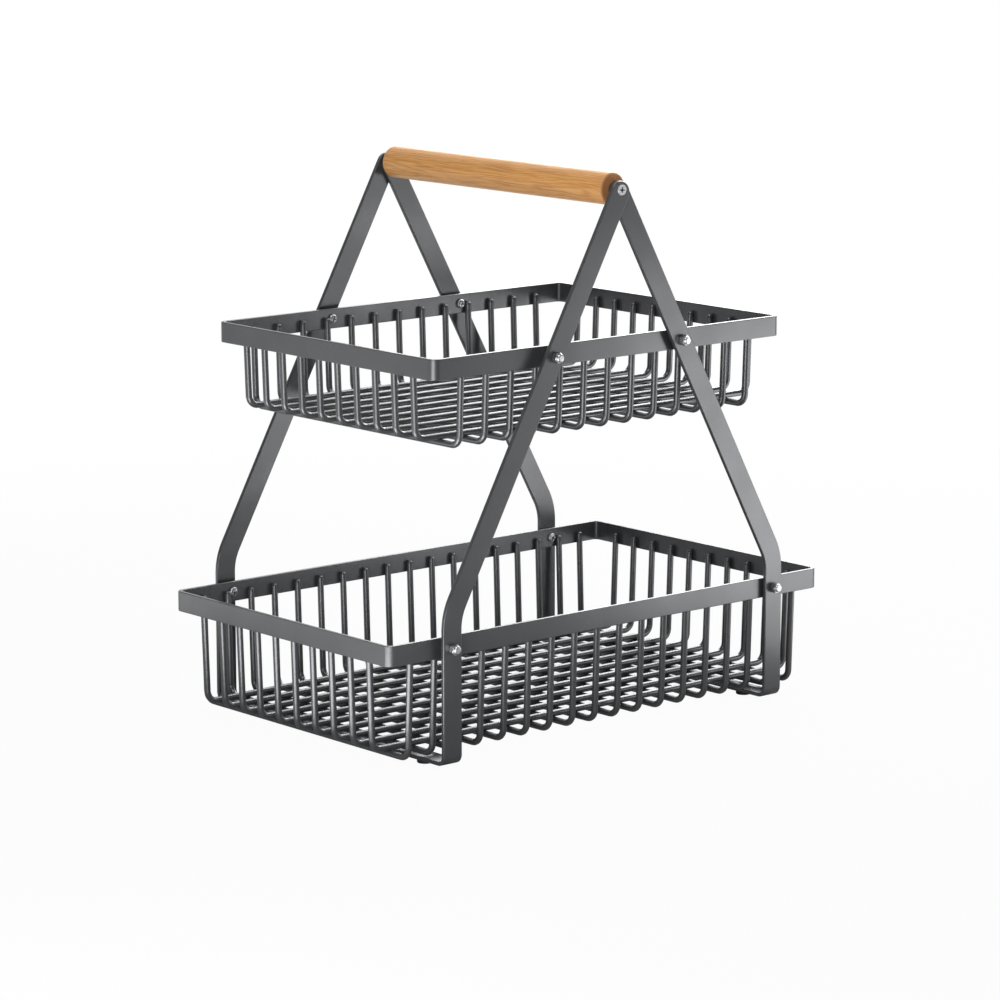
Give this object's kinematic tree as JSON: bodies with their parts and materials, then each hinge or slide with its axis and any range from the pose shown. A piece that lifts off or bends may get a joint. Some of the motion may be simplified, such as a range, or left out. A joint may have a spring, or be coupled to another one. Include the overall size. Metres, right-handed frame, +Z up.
{
  "type": "two-tier wire basket stand",
  "caption": "Two-tier rectangular wire basket stand with slanted flat-strip side loops, rubber feet and a turned wooden carrying grip.",
  "frame": {"origin": "on the ground, at the centre of the footprint, midway between the feet", "axes": "+X along the baskets, +Y across them along the grip, +Z up"},
  "size_m": [0.4158, 0.2778, 0.4077],
  "materials": {
    "graphite_coat": "satin graphite powder coat on steel wire and strip",
    "oiled_wood": "oiled hardwood, grain along the grip",
    "bright_zinc": "bright zinc-plated steel fasteners",
    "dark_rubber": "dark moulded rubber"
  },
  "bodies": {
    "root": {"cap_nut_lower_left_far": "bright_zinc", "cap_nut_lower_left_near": "bright_zinc", "cap_nut_lower_right_far": "bright_zinc", "cap_nut_lower_right_near": "bright_zinc", "cap_nut_upper_left_far": "bright_zinc", "cap_nut_upper_left_near": "bright_zinc", "cap_nut_upper_right_far": "bright_zinc", "cap_nut_upper_right_near": "bright_zinc", "foot_left_far": "dark_rubber", "foot_left_near": "dark_rubber", "foot_right_far": "dark_rubber", "foot_right_near": "dark_rubber", "grip_screw_far": "bright_zinc", "grip_screw_near": "bright_zinc", "left_loop": "graphite_coat", "lower_cross_wire_01": "graphite_coat", "lower_cross_wire_02": "graphite_coat", "lower_cross_wire_03": "graphite_coat", "lower_cross_wire_04": "graphite_coat", "lower_cross_wire_05": "graphite_coat", "lower_cross_wire_06": "graphite_coat", "lower_cross_wire_07": "graphite_coat", "lower_cross_wire_08": "graphite_coat", "lower_cross_wire_09": "graphite_coat", "lower_cross_wire_10": "graphite_coat", "lower_cross_wire_11": "graphite_coat", "lower_cross_wire_12": "graphite_coat", "lower_cross_wire_13": "graphite_coat", "lower_cross_wire_14": "graphite_coat", "lower_cross_wire_15": "graphite_coat", "lower_cross_wire_16": "graphite_coat", "lower_cross_wire_17": "graphite_coat", "lower_cross_wire_18": "graphite_coat", "lower_rim": "graphite_coat", "right_loop": "graphite_coat", "rim_screw_lower_left_far": "bright_zinc", "rim_screw_lower_left_near": "bright_zinc", "rim_screw_lower_right_far": "bright_zinc", "rim_screw_lower_right_near": "bright_zinc", "rim_screw_upper_left_far": "bright_zinc", "rim_screw_upper_left_near": "bright_zinc", "rim_screw_upper_right_far": "bright_zinc", "rim_screw_upper_right_near": "bright_zinc", "upper_cross_wire_01": "graphite_coat", "upper_cross_wire_02": "graphite_coat", "upper_cross_wire_03": "graphite_coat", "upper_cross_wire_04": "graphite_coat", "upper_cross_wire_05": "graphite_coat", "upper_cross_wire_06": "graphite_coat", "upper_cross_wire_07": "graphite_coat", "upper_cross_wire_08": "graphite_coat", "upper_cross_wire_09": "graphite_coat", "upper_cross_wire_10": "graphite_coat", "upper_cross_wire_11": "graphite_coat", "upper_cross_wire_12": "graphite_coat", "upper_cross_wire_13": "graphite_coat", "upper_rim": "graphite_coat", "wooden_grip": "oiled_wood"}
  },
  "joints": []
}
